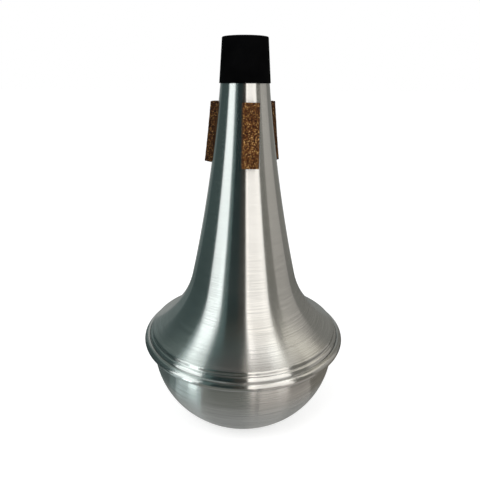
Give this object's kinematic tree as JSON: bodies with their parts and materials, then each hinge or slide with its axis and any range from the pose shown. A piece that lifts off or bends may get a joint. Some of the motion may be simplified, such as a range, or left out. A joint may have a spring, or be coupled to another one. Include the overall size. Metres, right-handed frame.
{
  "type": "trombone straight mute",
  "caption": "Hollow spun metal straight mute: flared neck with an open rubber-sleeved end, cork strips glued round the neck and a closed bowl whose lip is rolled over the flare.",
  "frame": {"origin": "middle of the flat rest face under the bowl", "axes": "+Z along the axis of turning, towards the small open end; -Y is the side that the picture shows"},
  "size_m": [0.14, 0.14, 0.2568],
  "materials": {
    "shell_aluminium": "spun satin, fine rings round the axis",
    "bowl_aluminium": "spun satin, fine rings round the axis",
    "sleeve_rubber": "matt black",
    "cork": "granular pressed cork, cut faces",
    "contact_glue": "thin dried film"
  },
  "bodies": {
    "root": {"spun_shell": "shell_aluminium", "base_bowl": "bowl_aluminium", "end_sleeve": "sleeve_rubber", "cork_front": "cork", "cork_right": "cork", "cork_left": "cork", "glue_front": "contact_glue", "glue_right": "contact_glue", "glue_left": "contact_glue"}
  },
  "joints": []
}
